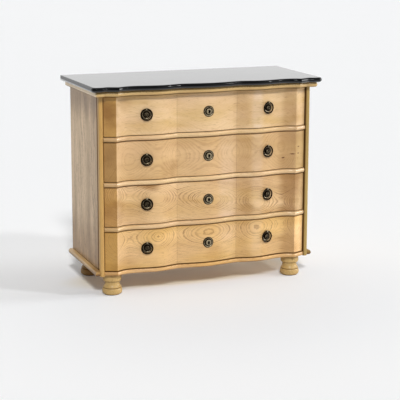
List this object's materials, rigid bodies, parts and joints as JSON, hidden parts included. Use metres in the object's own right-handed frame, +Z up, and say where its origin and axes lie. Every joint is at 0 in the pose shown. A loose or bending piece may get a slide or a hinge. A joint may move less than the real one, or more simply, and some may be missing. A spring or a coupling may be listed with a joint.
{
  "type": "chest of drawers",
  "caption": "Serpentine-front chest of drawers in light oak with a polished black top, round ring pulls, key plates and turned feet; the drawers slide and the rings swing.",
  "frame": {"origin": "on the floor under the middle of the top slab's outline", "axes": "+Z up, the front with the drawers faces -Y, +X to the viewer's right when facing the front"},
  "size_m": [1.096, 0.5182, 0.94],
  "materials": {
    "oak": "clear satin lacquer over light figured oak",
    "inner_oak": "plain sanded light wood",
    "black_top": "polished black",
    "dark_brass": "dark antique brass, satin"
  },
  "bodies": {
    "case": {"top_slab": "black_top", "under_top_board": "oak", "side_panel_left": "oak", "side_panel_right": "oak", "pilaster_left": "oak", "pilaster_right": "oak", "back_panel": "inner_oak", "divider_upper": "oak", "divider_middle": "oak", "divider_lower": "oak", "base_board": "oak", "base_moulding_left": "oak", "base_moulding_right": "oak", "foot_front_left": "oak", "foot_front_right": "oak", "foot_rear_left": "oak", "foot_rear_right": "oak"},
    "drawer_1": {"drawer_1_front": "oak", "drawer_1_side_left": "inner_oak", "drawer_1_side_right": "inner_oak", "drawer_1_back": "inner_oak", "drawer_1_bottom": "inner_oak", "drawer_1_escutcheon": "dark_brass", "drawer_1_pull_plate_left": "dark_brass", "drawer_1_pull_plate_right": "dark_brass"},
    "drawer_2": {"drawer_2_front": "oak", "drawer_2_side_left": "inner_oak", "drawer_2_side_right": "inner_oak", "drawer_2_back": "inner_oak", "drawer_2_bottom": "inner_oak", "drawer_2_escutcheon": "dark_brass", "drawer_2_pull_plate_left": "dark_brass", "drawer_2_pull_plate_right": "dark_brass"},
    "drawer_3": {"drawer_3_front": "oak", "drawer_3_side_left": "inner_oak", "drawer_3_side_right": "inner_oak", "drawer_3_back": "inner_oak", "drawer_3_bottom": "inner_oak", "drawer_3_escutcheon": "dark_brass", "drawer_3_pull_plate_left": "dark_brass", "drawer_3_pull_plate_right": "dark_brass"},
    "drawer_4": {"drawer_4_front": "oak", "drawer_4_side_left": "inner_oak", "drawer_4_side_right": "inner_oak", "drawer_4_back": "inner_oak", "drawer_4_bottom": "inner_oak", "drawer_4_escutcheon": "dark_brass", "drawer_4_pull_plate_left": "dark_brass", "drawer_4_pull_plate_right": "dark_brass"},
    "drawer_1_ring_left": {"drawer_1_pull_ring_left": "dark_brass"},
    "drawer_1_ring_right": {"drawer_1_pull_ring_right": "dark_brass"},
    "drawer_2_ring_left": {"drawer_2_pull_ring_left": "dark_brass"},
    "drawer_2_ring_right": {"drawer_2_pull_ring_right": "dark_brass"},
    "drawer_3_ring_left": {"drawer_3_pull_ring_left": "dark_brass"},
    "drawer_3_ring_right": {"drawer_3_pull_ring_right": "dark_brass"},
    "drawer_4_ring_left": {"drawer_4_pull_ring_left": "dark_brass"},
    "drawer_4_ring_right": {"drawer_4_pull_ring_right": "dark_brass"}
  },
  "joints": [
    {"name": "drawer_1_slide", "type": "slide", "parent": "case", "child": "drawer_1", "axis": [0, -1, 0], "range_m": [0, 0.3]},
    {"name": "drawer_2_slide", "type": "slide", "parent": "case", "child": "drawer_2", "axis": [0, -1, 0], "range_m": [0, 0.3]},
    {"name": "drawer_3_slide", "type": "slide", "parent": "case", "child": "drawer_3", "axis": [0, -1, 0], "range_m": [0, 0.3]},
    {"name": "drawer_4_slide", "type": "slide", "parent": "case", "child": "drawer_4", "axis": [0, -1, 0], "range_m": [0, 0.3]},
    {"name": "drawer_1_ring_left_swing", "type": "hinge", "parent": "drawer_1", "child": "drawer_1_ring_left", "pos_m": [-0.29263, -0.20767, 0.8326], "axis": [-0.9796, 0.2011, 0], "range_deg": [0, 150]},
    {"name": "drawer_1_ring_right_swing", "type": "hinge", "parent": "drawer_1", "child": "drawer_1_ring_right", "pos_m": [0.29263, -0.20767, 0.8326], "axis": [-0.9796, -0.2011, 0], "range_deg": [0, 150]},
    {"name": "drawer_2_ring_left_swing", "type": "hinge", "parent": "drawer_2", "child": "drawer_2_ring_left", "pos_m": [-0.29263, -0.20767, 0.6326], "axis": [-0.9796, 0.2011, 0], "range_deg": [0, 150]},
    {"name": "drawer_2_ring_right_swing", "type": "hinge", "parent": "drawer_2", "child": "drawer_2_ring_right", "pos_m": [0.29263, -0.20767, 0.6326], "axis": [-0.9796, -0.2011, 0], "range_deg": [0, 150]},
    {"name": "drawer_3_ring_left_swing", "type": "hinge", "parent": "drawer_3", "child": "drawer_3_ring_left", "pos_m": [-0.29263, -0.20767, 0.4326], "axis": [-0.9796, 0.2011, 0], "range_deg": [0, 150]},
    {"name": "drawer_3_ring_right_swing", "type": "hinge", "parent": "drawer_3", "child": "drawer_3_ring_right", "pos_m": [0.29263, -0.20767, 0.4326], "axis": [-0.9796, -0.2011, 0], "range_deg": [0, 150]},
    {"name": "drawer_4_ring_left_swing", "type": "hinge", "parent": "drawer_4", "child": "drawer_4_ring_left", "pos_m": [-0.29263, -0.20767, 0.2326], "axis": [-0.9796, 0.2011, 0], "range_deg": [0, 150]},
    {"name": "drawer_4_ring_right_swing", "type": "hinge", "parent": "drawer_4", "child": "drawer_4_ring_right", "pos_m": [0.29263, -0.20767, 0.2326], "axis": [-0.9796, -0.2011, 0], "range_deg": [0, 150]}
  ]
}
